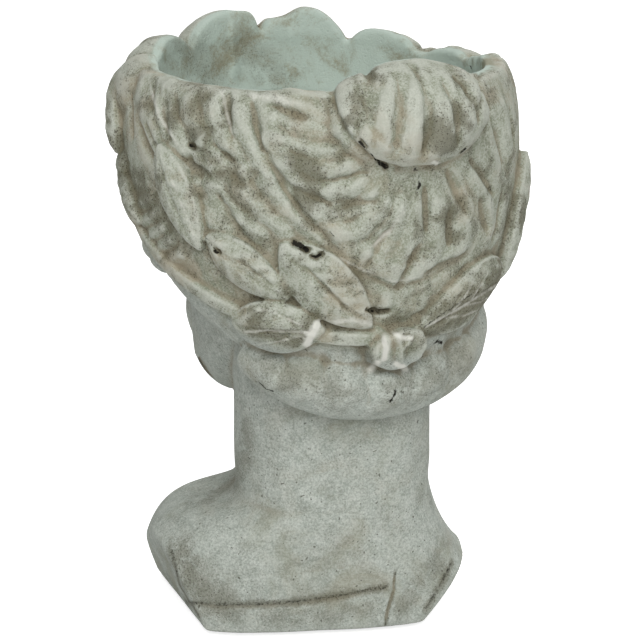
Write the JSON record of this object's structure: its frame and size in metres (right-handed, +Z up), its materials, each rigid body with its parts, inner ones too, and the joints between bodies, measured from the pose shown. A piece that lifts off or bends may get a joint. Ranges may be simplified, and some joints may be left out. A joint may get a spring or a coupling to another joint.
{
  "type": "head planter",
  "caption": "Cast cement head with a laurel wreath and a hair bun, hollow and open at the top as a plant pot, on cut-off shoulders with a stoppered drain.",
  "frame": {"origin": "on the ground, on the axis of the drain and of the bowl", "axes": "+Z up, -Y the way the chest faces, +X to the bust's own left"},
  "size_m": [0.1753, 0.182, 0.25],
  "materials": {
    "cement": "worn cast cement with lime bloom",
    "rubber": "matt moulded rubber",
    "felt": "pressed felt"
  },
  "bodies": {
    "casting": {"face_mask": "cement", "felt_pads": "felt", "front_lock_left_1": "cement", "front_lock_left_2": "cement", "front_lock_left_3": "cement", "front_lock_right_1": "cement", "front_lock_right_2": "cement", "front_lock_right_3": "cement", "hair_bun": "cement", "hair_shell": "cement", "laurel_leaf_left_1": "cement", "laurel_leaf_left_2": "cement", "laurel_leaf_left_3": "cement", "laurel_leaf_left_4": "cement", "laurel_leaf_left_5": "cement", "laurel_leaf_left_6": "cement", "laurel_leaf_left_7": "cement", "laurel_leaf_left_8": "cement", "laurel_leaf_right_1": "cement", "laurel_leaf_right_2": "cement", "laurel_leaf_right_3": "cement", "laurel_leaf_right_4": "cement", "laurel_leaf_right_5": "cement", "laurel_leaf_right_6": "cement", "laurel_leaf_right_7": "cement", "nape_roll": "cement", "neck_and_shoulders": "cement", "temple_roll_left": "cement", "temple_roll_right": "cement", "wreath_knot": "cement", "wreath_stem": "cement"},
    "drain_plug": {"drain_plug": "rubber"}
  },
  "joints": [
    {"name": "plug_pull", "type": "slide", "parent": "casting", "child": "drain_plug", "axis": [0, 0, -1], "range_m": [0, 0.025]}
  ]
}
